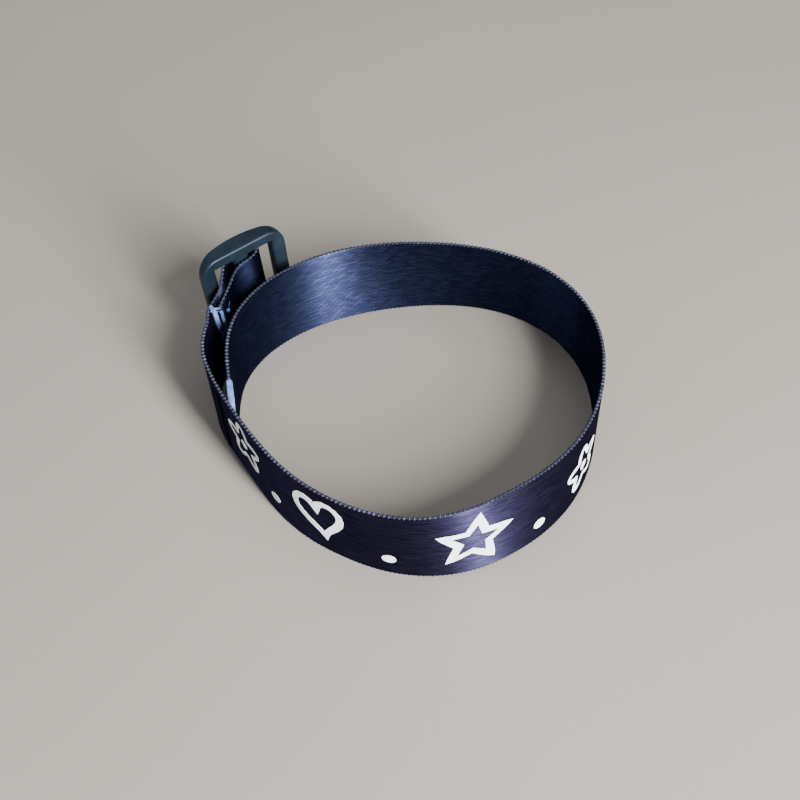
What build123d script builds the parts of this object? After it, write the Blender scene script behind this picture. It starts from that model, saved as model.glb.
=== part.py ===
from build123d import *
from collections import namedtuple
from math import asin, atan2, cos, degrees, hypot, pi, radians, sin
import os

# Sizes are in millimetres. The band stands on its lower edge, +Z up, with the
# slider at the back left. The origin is under the middle of its box.

# Ribbon
ribbon_width = 15.0
ribbon_thickness = 1.0
loop_length = 164.0
layer_gap = 0.2
bar_gap = 0.15
end_bar_gap = 0.75
fold_slack = 1.2
tab_lead = 0.8
tab_inset = 2.6
tab_spacing = 1.2
loop_spacing = 3.8

# Slider
slot_clearance = 2.2
slot_length = 3.45
rail = 1.65
end_bar = 2.3
middle_bar = 2.7
frame_depth = 2.9
frame_end_depth = 1.3
bar_recess = 1.0
bar_depth = 1.8
corner_radius = 3.0
bar_round = 0.8
slot_round = 0.5
edge_round = 0.35
slider_heading = 35.4
slider_tilt = 3.4
slider_turn = 149.2
slider_reach = 1.162

# Tacks
tack_length = 14.4
tack_width = 1.3
buckle_tack_depth = 0.8
join_tack_depth = 1.0
tack_round = 0.35
tack_gap = 0.3

# Worked out from the sizes above
loop_radius = loop_length / (2 * pi)
slot_height = ribbon_width + slot_clearance
slider_height = slot_height + 2 * rail
slider_length = 2 * end_bar + 2 * slot_length + middle_bar
layer_pitch = ribbon_thickness + layer_gap
bar_offset = bar_gap + ribbon_thickness / 2
fold_rise = rail + 0.75 * slot_clearance

# The loop seen from above, counter-clockwise from the tab: turn is the angle
# about the wrist's middle in degrees, reach the distance from it at half
# height as a share of the loop's radius, lean how many degrees the upper edge
# tips outwards, and swing how many it tips forwards.
Bend = namedtuple("Bend", "turn reach lean swing", defaults=[0])

loop = [
    Bend(158.4, 1.066, 1.0, 4.0),
    Bend(164.1, 1.048, 0.5, 2.0),
    Bend(168.5, 1.026, 0.5, 0.5),
    Bend(174.5, 0.982, 1.2),
    Bend(180.0, 0.945, 1.3),
    Bend(184.5, 0.906, 1.3),
    Bend(188.0, 0.880, 1.5),
    Bend(191.5, 0.858, 2.0),
    Bend(198.0, 0.826, 2.3),
    Bend(206.5, 0.800, 2.0),
    Bend(218.0, 0.790, 1.7),
    Bend(231.0, 0.797, 1.8),
    Bend(244.0, 0.816, 2.4),
    Bend(257.0, 0.847, 2.7),
    Bend(270.0, 0.892, 1.8),
    Bend(283.0, 0.936, 0.0),
    Bend(296.0, 0.970, -3.0),
    Bend(309.0, 0.999, -4.8),
    Bend(322.0, 1.044, -4.5),
    Bend(335.0, 1.095, -3.6),
    Bend(348.0, 1.140, -2.6),
    Bend(361.0, 1.182, -2.2),
    Bend(374.0, 1.229, -2.8),
    Bend(386.5, 1.252, -3.8),
    Bend(398.5, 1.237, -5.0),
    Bend(411.0, 1.182, -5.6),
    Bend(424.0, 1.105, -4.5),
    Bend(437.0, 1.036, -2.5),
    Bend(450.0, 0.992, 0.0),
    Bend(463.0, 0.970, 1.6),
    Bend(476.0, 0.963, 2.1),
    Bend(488.5, 0.962, 2.0),
    Bend(500.0, 0.962, 1.5),
    Bend(511.0, 0.949, 0.8),
    Bend(521.5, 0.920, 0.4),
    Bend(530.5, 0.881, 0.2),
    Bend(536.5, 0.866, -0.6),
    Bend(540.0, 0.858, -0.8),
    Bend(542.7, 0.847, -1.0),
]

# Bends of the loop that the tab's close sections run on past the tack
close_bends = 3

# The doubled tab beside the slider: way is the share of the distance from the
# tack to the left bar, rise the height of the lower edge as a share of the
# fold's, and swing the slope of the ribbon's width in degrees.
Tab = namedtuple("Tab", "way rise swing")

doubled_tab = [
    Tab(0.00, 0.04, 2.5),
    Tab(0.40, 0.11, 4.0),
    Tab(0.72, 0.28, 5.0),
]

# The inner leg from the tab to the middle bar: way is the share of the
# distance to the middle bar's axis, drop the share of the step down to the
# bar's face.
Leg = namedtuple("Leg", "way drop rise swing")

inner_leg = [
    Leg(0.22, 0.27, 0.31, 5.5),
    Leg(0.46, 0.57, 0.48, 5.0),
    Leg(0.70, 0.86, 0.68, 4.0),
    Leg(0.92, 1.00, 0.81, 3.0),
]

# The outer leg where it crosses the left slot, from the fold to the left bar.
Crossing = namedtuple("Crossing", "rise swing")

outer_leg = [
    Crossing(1.00, 0.0),
    Crossing(0.99, 0.1),
    Crossing(0.97, 0.4),
    Crossing(0.94, 0.8),
    Crossing(0.86, 1.8),
    Crossing(0.77, 3.0),
    Crossing(0.68, 4.2),
    Crossing(0.58, 5.5),
]

# The fold round the middle bar: angle is how far round the half circle it is.
Fold = namedtuple("Fold", "angle rise swing")

middle_fold = [
    Fold(0, 0.88, 3.0),
    Fold(30, 0.92, 2.0),
    Fold(60, 0.96, 1.0),
    Fold(90, 1.00, 0.0),
    Fold(120, 1.00, 0.0),
    Fold(150, 1.00, 0.0),
    Fold(180, 1.00, 0.0),
]

# Directions of the slider: along its length, up its bars and out of its
# inner face, towards the wrist.
heading = radians(slider_heading)
tilt = radians(slider_tilt)
slider_along = Vector(cos(heading) * cos(tilt), sin(heading) * cos(tilt), sin(tilt))
slider_inward = Vector(sin(heading), -cos(heading), 0)
slider_up = slider_inward.cross(slider_along)
slider_foot = corner_radius * (1 - cos(tilt) - sin(tilt))

Station = namedtuple("Station", "point up lean rise swing")


def wrist_point(turn, reach, height):
    angle = radians(turn)
    radius = reach * loop_radius
    return Vector(radius * cos(angle), radius * sin(angle), height)


wrist_slider_plane = Plane(
    origin=wrist_point(slider_turn, slider_reach, slider_foot),
    x_dir=slider_along,
    z_dir=slider_inward,
)

# Places along the slider and out from its inner face, which is at zero.
tack_place = (-tab_lead, tab_inset)
left_bar_edge = end_bar
middle_bar_edge = left_bar_edge + slot_length
middle_bar_axis = middle_bar_edge + middle_bar / 2
middle_bar_face = -bar_recess - bar_depth
inner_pass = -bar_recess + bar_offset
outer_pass = middle_bar_face - bar_offset
fold_radius = (inner_pass - outer_pass) / 2
fold_axis = middle_bar_edge + middle_bar + bar_offset + fold_slack - fold_radius


def tab_station(along, out, rise, swing):
    """A place on the tab, given in the slider's own directions."""
    point = wrist_slider_plane.from_local_coords((along, rise * fold_rise + ribbon_width / 2, out))
    slope = radians(swing)
    up = slider_up * cos(slope) - slider_along * sin(slope)
    return Station(point, up, 0, rise * fold_rise, 0)


def loop_station(bend):
    """A place on the loop, with the lower edge on the ground."""
    point = wrist_point(bend.turn, bend.reach, ribbon_width / 2)
    return Station(point, Vector(0, 0, 1), bend.lean, 0, bend.swing)


def between(start, end, share):
    return (start[0] + share * (end[0] - start[0]), start[1] + share * (end[1] - start[1]))


def slot_crossing():
    """The outer leg's way from behind the middle bar through the left slot."""
    bar_turn = (middle_bar_edge + bar_round, middle_bar_face + bar_round)
    end_turn = (left_bar_edge - slot_round, -slot_round)
    bar_radius = bar_round + bar_offset
    end_radius = slot_round + end_bar_gap + ribbon_thickness / 2
    across = (bar_turn[0] - end_turn[0], bar_turn[1] - end_turn[1])
    pitch = degrees(atan2(across[1], across[0]) - asin((bar_radius + end_radius) / hypot(*across)))
    onward = (end_turn[0] - tack_place[0], end_turn[1] - tack_place[1])
    leave = degrees(atan2(onward[1], onward[0]) + asin(end_radius / hypot(*onward))) + 90

    def round_turn(centre, radius, angle):
        return (centre[0] + radius * cos(radians(angle)), centre[1] + radius * sin(radians(angle)))

    route = [round_turn(bar_turn, bar_radius, -90 + share * pitch) for share in (0, 0.5, 1)]
    start = between((fold_axis, outer_pass), route[0], 0.5)
    rest = round_turn(end_turn, end_radius, (pitch + 90 + leave) / 2)
    straight = [between(route[-1], rest, share) for share in (0.25, 0.5, 0.75)]
    return [start] + route + straight + [rest]


def tab_stations():
    """Stations of both legs, from the cut end round the middle bar and back."""
    crossing = slot_crossing()
    left_bar_rest = crossing[-1]
    span = (left_bar_rest[0] - tack_place[0], left_bar_rest[1] - tack_place[1])
    length = hypot(*span)
    outer_route = [between(tack_place, left_bar_rest, row.way) for row in doubled_tab]
    cut_end = between(tack_place, left_bar_rest, (tack_width / 2 + layer_gap + tack_gap) / length)
    inner_route = [
        (place[0] - layer_pitch * span[1] / length, place[1] + layer_pitch * span[0] / length)
        for place in [cut_end] + outer_route[1:]
    ]
    stations = []
    for place, row in zip(inner_route, doubled_tab):
        stations.append(tab_station(*place, row.rise, row.swing))

    start = inner_route[-1]
    for row in inner_leg:
        along = start[0] + row.way * (middle_bar_axis - start[0])
        out = start[1] + row.drop * (inner_pass - start[1])
        stations.append(tab_station(along, out, row.rise, row.swing))

    for row in middle_fold:
        angle = radians(row.angle)
        along = fold_axis + fold_radius * sin(angle)
        out = (inner_pass + outer_pass) / 2 + fold_radius * cos(angle)
        stations.append(tab_station(along, out, row.rise, row.swing))

    for place, row in zip(crossing, outer_leg):
        stations.append(tab_station(*place, row.rise, row.swing))

    for place, row in reversed(list(zip(outer_route, doubled_tab))):
        stations.append(tab_station(*place, row.rise, row.swing))
    return stations


def travel_at(points, index):
    """Direction of a route at a point, by the circle through its neighbours."""
    if index == 0:
        return (points[1] - points[0]).normalized()
    if index == len(points) - 1:
        return (points[-1] - points[-2]).normalized()
    back = points[index] - points[index - 1]
    ahead = points[index + 1] - points[index]
    return (back.normalized() * ahead.length + ahead.normalized() * back.length).normalized()


def evenly_spaced(stations, first, last, spacing):
    """Stations at even distances on the smooth route from one station to another."""
    points = [station.point for station in stations]
    lengths = [(after - before).length for before, after in zip(points, points[1:])]
    count = round(sum(lengths[first:last]) / spacing)
    step = sum(lengths[first:last]) / count
    spaced = [stations[first]]
    index = first
    passed = 0
    for number in range(1, count):
        while passed + lengths[index] < number * step:
            passed += lengths[index]
            index += 1
        share = (number * step - passed) / lengths[index]
        spaced.append(station_between(stations, points, index, share))
    return spaced + [stations[last]]


def station_between(stations, points, index, share):
    before = stations[index]
    after = stations[index + 1]
    length = (after.point - before.point).length
    leaving = travel_at(points, index) * length
    arriving = travel_at(points, index + 1) * length
    rest = 1 - share
    point = (
        before.point * (rest * rest * (1 + 2 * share))
        + leaving * (rest * rest * share)
        + after.point * (share * share * (1 + 2 * rest))
        - arriving * (share * share * rest)
    )
    return Station(
        point,
        (before.up * rest + after.up * share).normalized(),
        before.lean * rest + after.lean * share,
        before.rise * rest + after.rise * share,
        before.swing * rest + after.swing * share,
    )


def section_planes(stations):
    """A plane across the ribbon at each station: X through it, Y up its width."""
    points = [station.point for station in stations]
    planes = []
    for index, station in enumerate(stations):
        travel = travel_at(points, index)
        forwards = radians(station.swing)
        up = station.up * cos(forwards) + travel * sin(forwards)
        outward = travel.cross(up).normalized()
        slant = radians(station.lean)
        across = up * cos(slant) + outward * sin(slant)
        inward = across.cross(travel).normalized()
        lowest = station.point.Z - ribbon_width / 2 * across.Z - ribbon_thickness / 2 * abs(inward.Z)
        centre = station.point + across * ((station.rise - lowest) / across.Z)
        planes.append(Plane(origin=centre, x_dir=inward, z_dir=inward.cross(across)))
    return planes


tab = tab_stations()
route = tab + [loop_station(bend) for bend in loop]
tack_index = len(tab) - 1
close_index = tack_index + close_bends
tab_route = evenly_spaced(route, 0, close_index, tab_spacing)
loop_route = evenly_spaced(route, close_index, len(route) - 1, loop_spacing)
wrist_sections = section_planes(tab_route + loop_route[1:])
wrist_tack_section = section_planes(route)[tack_index]
tab_end = len(tab_route) - 1

# The box's middle, which everything is moved by so that it stands over the
# origin: the ribbon's corners at each section and the slider's two ends.
corners = [
    plane.from_local_coords((side * ribbon_thickness / 2, edge * ribbon_width / 2))
    for plane in wrist_sections
    for side in (-1, 1)
    for edge in (-1, 1)
]
corners += [
    wrist_slider_plane.from_local_coords((along, height, -depth))
    for along in (0, slider_length)
    for height in (corner_radius, slider_height - corner_radius)
    for depth in (0, frame_end_depth)
]
box_middle = Vector(
    (min(corner.X for corner in corners) + max(corner.X for corner in corners)) / 2,
    (min(corner.Y for corner in corners) + max(corner.Y for corner in corners)) / 2,
    0,
)


def centred(plane):
    return Plane(origin=plane.origin - box_middle, x_dir=plane.x_dir, z_dir=plane.z_dir)


sections = [centred(plane) for plane in wrist_sections]
slider_plane = centred(wrist_slider_plane)
profile_plane = Plane(slider_plane.origin, x_dir=slider_along, z_dir=slider_up)
bar_axis = Axis(slider_plane.origin, slider_up)
length_axis = Axis(slider_plane.origin, slider_along)
inward_axis = Axis(slider_plane.origin, slider_inward)


def tack_plane(section, forwards, inwards):
    """The middle of a bar tack near a section, X up the ribbon's width."""
    return Plane(
        origin=section.origin + section.z_dir * forwards + section.x_dir * inwards,
        x_dir=section.y_dir,
        z_dir=section.x_dir,
    )


tack_section = centred(wrist_tack_section)
buckle_tack_plane = tack_plane(tack_section, 0, (ribbon_thickness + buckle_tack_depth) / 2 + tack_gap)
join_tack_plane = tack_plane(sections[-1], tack_width / 2 + tack_gap, layer_gap)

# One length of ribbon: from the outer cut end round the middle bar and back,
# then once round the wrist to the inner cut end.
with BuildPart() as ribbon:
    for section in sections[: tab_end + 1]:
        with BuildSketch(section):
            Rectangle(ribbon_thickness, ribbon_width)
    loft()
    for section in sections[tab_end:]:
        with BuildSketch(section):
            Rectangle(ribbon_thickness, ribbon_width)
    loft()

# Slider: flat towards the wrist and arched outwards, open between its end bars
# and rails, with the sunken middle bar across the opening.
with BuildPart() as slider:
    with BuildSketch(slider_plane):
        with Locations((slider_length / 2, slider_height / 2)):
            RectangleRounded(slider_length, slider_height, corner_radius)
    extrude(amount=-frame_depth)
    with BuildSketch(profile_plane):
        with BuildLine():
            Polyline(
                (0, frame_end_depth),
                (0, 0),
                (slider_length, 0),
                (slider_length, frame_end_depth),
            )
            ThreePointArc(
                (slider_length, frame_end_depth),
                (slider_length / 2, frame_depth),
                (0, frame_end_depth),
            )
        make_face()
    extrude(amount=slider_height, mode=Mode.INTERSECT)
    with BuildSketch(slider_plane):
        with Locations((slider_length / 2, slider_height / 2)):
            Rectangle(slider_length - 2 * end_bar, slot_height)
    extrude(amount=-frame_depth, mode=Mode.SUBTRACT)
    uprights = slider.edges().filter_by(bar_axis).sort_by(length_axis)
    fillet(uprights[2:6], radius=slot_round)
    inner_face = slider.faces().filter_by(inward_axis).sort_by(inward_axis)[-1]
    fillet(inner_face.outer_wire().edges(), radius=edge_round)
    arched_face = slider.faces().filter_by(GeomType.CYLINDER).sort_by(SortBy.AREA)[-1]
    fillet(arched_face.outer_wire().edges(), radius=edge_round)
    with BuildSketch(profile_plane.offset(rail / 2)):
        with Locations((middle_bar_axis, bar_recess + bar_depth / 2)):
            RectangleRounded(middle_bar, bar_depth, bar_round)
    extrude(amount=slider_height - rail)

# Bar tack beside the outer cut end, on the outer layer's inner face
with BuildPart() as buckle_tack:
    with BuildSketch(buckle_tack_plane):
        RectangleRounded(tack_length, tack_width, tack_round)
    extrude(amount=buckle_tack_depth / 2, both=True)
    fillet(buckle_tack.faces().filter_by(Axis(buckle_tack_plane.origin, buckle_tack_plane.z_dir)).edges(), tack_round)

# Bar tack that closes the loop, over the inner cut end
with BuildPart() as join_tack:
    with BuildSketch(join_tack_plane):
        RectangleRounded(tack_length, tack_width, tack_round)
    extrude(amount=join_tack_depth / 2, both=True)
    fillet(join_tack.faces().filter_by(Axis(join_tack_plane.origin, join_tack_plane.z_dir)).edges(), tack_round)

ribbon.part.label = "ribbon"
slider.part.label = "slider"
buckle_tack.part.label = "buckle_tack"
join_tack.part.label = "join_tack"

os.makedirs("parts", exist_ok=True)
export_step(ribbon.part, "parts/ribbon.step")
export_step(slider.part, "parts/slider.step")
export_step(buckle_tack.part, "parts/buckle_tack.step")
export_step(join_tack.part, "parts/join_tack.step")
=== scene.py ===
import math
import random
from collections import namedtuple
from functools import lru_cache, partial

import bmesh
import bpy
import numpy as np
from bpy.props import FloatProperty, FloatVectorProperty, IntProperty, PointerProperty
from bpy.types import Operator, Panel, PropertyGroup
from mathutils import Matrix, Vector


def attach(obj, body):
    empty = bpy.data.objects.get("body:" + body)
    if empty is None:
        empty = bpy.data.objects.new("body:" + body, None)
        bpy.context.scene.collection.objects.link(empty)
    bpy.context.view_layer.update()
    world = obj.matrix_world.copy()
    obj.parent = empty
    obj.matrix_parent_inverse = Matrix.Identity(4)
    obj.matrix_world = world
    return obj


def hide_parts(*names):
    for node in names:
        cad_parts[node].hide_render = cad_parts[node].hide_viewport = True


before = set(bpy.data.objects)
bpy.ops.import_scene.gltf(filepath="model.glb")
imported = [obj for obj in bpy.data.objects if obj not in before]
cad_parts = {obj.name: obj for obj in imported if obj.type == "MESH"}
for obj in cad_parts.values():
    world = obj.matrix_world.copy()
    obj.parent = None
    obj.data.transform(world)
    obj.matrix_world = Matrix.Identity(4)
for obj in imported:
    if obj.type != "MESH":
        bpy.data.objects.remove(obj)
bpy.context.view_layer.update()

bl_info = {
    "name": "Woven Wristband",
    "version": (1, 0, 0),
    "blender": (4, 5, 0),
    "location": "View3D > Sidebar > Wristband",
    "description": "Dresses the packed wristband: ribbon, selvages, stitching, print, slider and stage",
    "category": "Object",
}

MM = 0.001


# Settings


def metres(name, description, default, **limits):
    return FloatProperty(
        name=name, description=description, default=default, unit="LENGTH", precision=5, **limits
    )


def rgb(name, description, default):
    return FloatVectorProperty(name=name, description=description, default=default, subtype="COLOR")


class RibbonSettings(PropertyGroup):
    thickness: metres(
        "Thickness", "Thickness of the woven cloth", 0.50 * MM, min=0.2 * MM, max=1.0 * MM
    )
    selvage: metres(
        "Selvage", "How far the woven beads stand out past the cloth on each edge", 0.17 * MM
    )
    step: metres("Step", "Distance between the rows of faces along the ribbon", 0.5 * MM)
    front_colour: rgb("Front", "Colour of the satin side, which faces out", (0.011, 0.0075, 0.025))
    back_colour: rgb("Back", "Colour of the side that lies against the wrist", (0.009, 0.012, 0.036))
    bead_pitch: metres("Bead Pitch", "Distance between the woven beads along each edge", 0.65 * MM)
    bead_size: FloatVectorProperty(
        name="Bead Size",
        description="Length, thickness and height of one bead",
        subtype="XYZ",
        default=(0.33 * MM, 0.60 * MM, 0.34 * MM),
    )
    bead_colour: rgb("Beads", "Colour of the woven beads", (0.050, 0.060, 0.11))


class StitchSettings(PropertyGroup):
    thread: metres("Thread", "Thickness of the sewing thread", 0.26 * MM)
    pitch: metres("Pitch", "Distance from one stitch to the next", 0.27 * MM)
    tilt: FloatProperty(
        name="Tilt",
        description="Slope of each stitch to and fro",
        default=math.radians(11),
        subtype="ANGLE",
    )
    seam_width: metres(
        "Seam Width", "Width of the stitching where it comes through the cloth", 1.9 * MM
    )
    colour: rgb("Thread Colour", "Colour of the sewing thread", (0.06, 0.13, 0.34))
    under_colour: rgb(
        "Under Thread", "Colour of the thread that shows on the outside", (0.005, 0.005, 0.011)
    )
    seed: IntProperty(
        name="Seed", description="Seed for the small differences between stitches", default=7
    )


class PrintSettings(PropertyGroup):
    stroke: metres("Stroke", "Width of the printed lines", 1.0 * MM)
    dot: metres("Dot", "Width of the printed dots", 2.0 * MM)
    colour: rgb("Ink", "Colour of the print", (0.80, 0.83, 0.88))


class StageSettings(PropertyGroup):
    slider_colour: rgb("Slider", "Colour of the moulded slider", (0.0026, 0.0058, 0.0100))
    floor_colour: rgb("Floor", "Colour of the floor", (0.20, 0.185, 0.167))
    key_power: FloatProperty(
        name="Key Light", description="Strength of the main light", default=17.0, unit="POWER"
    )


class WristbandSettings(PropertyGroup):
    ribbon: PointerProperty(name="Ribbon", description="The woven ribbon", type=RibbonSettings)
    stitches: PointerProperty(name="Stitches", description="The sewing thread", type=StitchSettings)
    print: PointerProperty(name="Print", description="The printed motifs", type=PrintSettings)
    stage: PointerProperty(
        name="Stage", description="Slider finish, floor and light", type=StageSettings
    )


def settings():
    return bpy.context.scene.wristband


# The ribbon's own shape, read from its solid

# A long corner line of the solid is sharper and longer than this
SHARP_ANGLE = math.radians(40)
LONG_LINE = 0.05
WELD_DISTANCE = 1e-6
# How many times finer the line beside another one is searched, and how many steps ahead
FINENESS = 10
LOOK_AHEAD = 40
# The fold round the slider's bar lies in this stretch from the cut end. Its heading is read
# from so many samples before a place to so many after it.
FOLD_STRETCH = 0.05
FOLD_SAMPLE = 0.0002
HEADING_SAMPLES = 3
FOLD_ANGLES = (65, 95, 125, 155, 185)
# Pairs of places round the loop: the first one, their spacing, how far they stay from
# the inner cut end, and how far one edge may run ahead of the other
LOOP_START = 0.048
LOOP_SPACING = 0.009
LOOP_MARGIN = 0.008
EDGE_LAG = 0.003
EDGE_SAMPLE = 0.0001
SMOOTHING_PASSES = 3


def long_corner_edges(mesh):
    """The four long corner lines of the solid ribbon, each from its outer cut end to its inner one."""
    solid = bmesh.new()
    solid.from_mesh(mesh)
    bmesh.ops.remove_doubles(solid, verts=solid.verts, dist=WELD_DISTANCE)
    links = {}
    for edge in solid.edges:
        if len(edge.link_faces) == 2 and edge.calc_face_angle(0) > SHARP_ANGLE:
            for vertex in edge.verts:
                links.setdefault(vertex, []).append(edge)
    corners = [vertex for vertex, edges in links.items() if len(edges) == 3]
    lines = []
    for corner in corners:
        for edge in links[corner]:
            line, vertex = [corner.co.copy()], edge.other_vert(corner)
            while len(links[vertex]) == 2:
                line.append(vertex.co.copy())
                edge = next(other for other in links[vertex] if other != edge)
                vertex = edge.other_vert(vertex)
            line.append(vertex.co.copy())
            length = sum((after - before).length for before, after in zip(line, line[1:]))
            if length > LONG_LINE and line[0].y > line[-1].y:
                lines.append(np.array(line))
    solid.free()
    if len(lines) != 4:
        raise RuntimeError(f"the ribbon has {len(lines)} long corner lines, and it should have 4")
    return lines


def travelled(line):
    return np.concatenate([[0], np.cumsum(np.linalg.norm(np.diff(line, axis=0), axis=1))])


def along(line, distances):
    way = travelled(line)
    return np.stack([np.interp(distances, way, line[:, axis]) for axis in range(3)], axis=1)


def edge_middle(line, other, step):
    """The line midway between two corner lines, from even steps along the first one.

    The nearest place on the other line never goes back.
    """
    length = travelled(line)[-1]
    first = along(line, np.linspace(0, length, round(length / step) + 1))
    fine_step = step / FINENESS
    fine = along(other, np.arange(0, travelled(other)[-1] + fine_step, fine_step))
    place, second = 0, []
    for point in first:
        window = fine[place : place + LOOK_AHEAD]
        place += int(np.argmin(np.linalg.norm(window - point, axis=1)))
        second.append(fine[place])
    return (first + np.array(second)) / 2


def fold_marks(line):
    """How far along a line the fold round the slider's bar has turned by each of a few angles."""
    distances = np.arange(0, FOLD_STRETCH, FOLD_SAMPLE)
    points = along(line, distances)
    ahead = points[2 * HEADING_SAMPLES :] - points[: -2 * HEADING_SAMPLES]
    heading = np.degrees(np.unwrap(np.arctan2(ahead[:, 1], ahead[:, 0])))
    middle = distances[HEADING_SAMPLES:-HEADING_SAMPLES]
    low = int(np.argmin(heading[: len(heading) // 2]))
    marks = [middle[low + int(np.argmax(heading[low:] > angle))] for angle in FOLD_ANGLES]
    return np.array([0, *marks, travelled(line)[-1]])


def loop_marks(low, high, low_marks, high_marks):
    """Adds pairs of nearest places on the two edges round the loop, where the ribbon stands square."""
    fine = np.arange(0, travelled(high)[-1], EDGE_SAMPLE)
    upper = along(high, fine)
    added_low, added_high = list(low_marks[:-1]), list(high_marks[:-1])
    for distance in np.arange(LOOP_START, low_marks[-1] - LOOP_MARGIN, LOOP_SPACING):
        expected = added_high[-1] + distance - added_low[-1]
        window = np.abs(fine - expected) < EDGE_LAG
        gaps = np.linalg.norm(upper[window] - along(low, [distance])[0], axis=1)
        added_low.append(distance)
        added_high.append(fine[window][int(np.argmin(gaps))])
    return np.array([*added_low, low_marks[-1]]), np.array([*added_high, high_marks[-1]])


def smoothed(points):
    points = points.copy()
    for _ in range(SMOOTHING_PASSES):
        points[1:-1] = (points[:-2] + 2 * points[1:-1] + points[2:]) / 4
    return points


def unit_rows(vectors):
    return vectors / np.linalg.norm(vectors, axis=1)[:, None]


@lru_cache(maxsize=None)
def ribbon_rows(step):
    """Rows across the ribbon, evenly spaced along it.

    For each row: its distance along, its middle, the direction up and the one towards the wrist.
    """
    lines = long_corner_edges(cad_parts["ribbon"].data)
    lines.sort(key=lambda line: line[0][2])
    low, high = (
        edge_middle(outer, inner, step / 2)
        for inner, outer in (
            sorted(pair, key=lambda line: np.hypot(*line[-1][:2])) for pair in (lines[:2], lines[2:])
        )
    )
    low_marks, high_marks = loop_marks(low, high, fold_marks(low), fold_marks(high))
    count = round((low_marks[-1] + high_marks[-1]) / 2 / step)
    share = np.linspace(0, 1, count + 1)
    mark_shares = (low_marks / low_marks[-1] + high_marks / high_marks[-1]) / 2
    low = smoothed(along(low, np.interp(share, mark_shares, low_marks)))
    high = smoothed(along(high, np.interp(share, mark_shares, high_marks)))
    middle = (low + high) / 2
    up = unit_rows(high - low)
    inward = unit_rows(np.cross(up, np.gradient(middle, axis=0)))
    return travelled(middle), middle, up, inward


def rows():
    return ribbon_rows(settings().ribbon.step)


def strip_point(distance, height, depth):
    """A place on the ribbon: so far along it, up from its middle line and towards the wrist."""
    way, *tracks = rows()
    middle, up, inward = (
        np.array([np.interp(distance, way, track[:, axis]) for axis in range(3)]) for track in tracks
    )
    return middle + up * height + inward * depth


def half_width():
    """From the ribbon's middle line to the edge of its cloth, where the beads start."""
    middle = rows()[1]
    return float(np.median(middle[:, 2])) - settings().ribbon.selvage


# Objects and Geometry Nodes trees


def new_object(name, data):
    item = bpy.data.objects.new(name, data)
    bpy.context.scene.collection.objects.link(item)
    return item


def mesh_object(name, points, faces, smooth=True):
    mesh = bpy.data.meshes.new(name)
    mesh.from_pydata([tuple(point) for point in points], [], faces)
    mesh.polygons.foreach_set("use_smooth", [smooth] * len(mesh.polygons))
    mesh.update()
    return new_object(name, mesh)


def strip_coordinates(item, places):
    """Gives each corner of each face its vertex's place on the strip: distance and height."""
    layer = item.data.uv_layers.new(name="Strip")
    corners = [places[loop.vertex_index] for loop in item.data.loops]
    layer.data.foreach_set("uv", np.array(corners, np.float32).ravel())


def ensure_outward(item):
    """Turns a closed mesh's faces outwards."""
    shape = bmesh.new()
    shape.from_mesh(item.data)
    bmesh.ops.recalc_face_normals(shape, faces=shape.faces)
    shape.to_mesh(item.data)
    shape.free()


def line_object(name, lines, weights=None):
    """Lines of points, each point with the direction towards the wrist and a weight kept beside it."""
    mesh = bpy.data.meshes.new(name)
    points, edges, inward, weight = [], [], [], []
    for number, line in enumerate(lines):
        edges += [(len(points) + k, len(points) + k + 1) for k in range(len(line) - 1)]
        points += [tuple(point) for point, _ in line]
        inward += [direction for _, direction in line]
        weight += [weights[number] if weights else 1.0] * len(line)
    mesh.from_pydata(points, edges, [])
    directions = mesh.attributes.new("inward", "FLOAT_VECTOR", "POINT")
    directions.data.foreach_set("vector", np.array(inward, np.float32).ravel())
    mesh.attributes.new("weight", "FLOAT", "POINT").data.foreach_set("value", weight)
    return new_object(name, mesh)


def fill(tree, node, values):
    """Sets a node's inputs, each from a value, a socket or another node's first socket."""
    for socket, value in values.items():
        if isinstance(value, bpy.types.Node):
            value = value.outputs[0]
        if isinstance(value, bpy.types.NodeSocket):
            tree.links.new(value, node.inputs[socket])
        else:
            node.inputs[socket].default_value = value


def add(tree, kind, values=None, **options):
    """A node with its options and inputs set."""
    node = tree.nodes.new(kind)
    for option, value in options.items():
        setattr(node, option, value)
    fill(tree, node, values or {})
    return node


def calculated(tree, operation, first, second=0.0):
    return add(tree, "ShaderNodeMath", {0: first, 1: second}, operation=operation)


def vector_calculated(tree, operation, first, second):
    return add(tree, "ShaderNodeVectorMath", {0: first, 1: second}, operation=operation)


def geometry_tree(name, inputs):
    tree = bpy.data.node_groups.new(name, "GeometryNodeTree")
    tree.interface.new_socket("Geometry", in_out="INPUT", socket_type="NodeSocketGeometry")
    for label, kind in inputs.items():
        tree.interface.new_socket(label, in_out="INPUT", socket_type="NodeSocket" + kind)
    tree.interface.new_socket("Geometry", in_out="OUTPUT", socket_type="NodeSocketGeometry")
    return tree, tree.nodes.new("NodeGroupInput"), tree.nodes.new("NodeGroupOutput")


def spaced_curve(tree, source):
    """The lines that come in as curves, and the same with a point at every pitch."""
    curve = add(tree, "GeometryNodeMeshToCurve", {"Mesh": source.outputs["Geometry"]})
    values = {"Curve": curve, "Length": source.outputs["Pitch"]}
    return curve, add(tree, "GeometryNodeResampleCurve", values, mode="LENGTH")


def standing(tree, lengthwise, sideways):
    """A rotation with one axis along the curve and another towards the wrist."""
    tangent = add(tree, "GeometryNodeInputTangent")
    side = add(tree, "GeometryNodeInputNamedAttribute", {"Name": "inward"}, data_type="FLOAT_VECTOR")
    first = add(tree, "FunctionNodeAlignRotationToVector", {"Vector": tangent}, axis=lengthwise)
    second = add(
        tree,
        "FunctionNodeAlignRotationToVector",
        {"Rotation": first, "Vector": side},
        axis=sideways,
        pivot_axis=lengthwise,
    )
    return second


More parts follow.
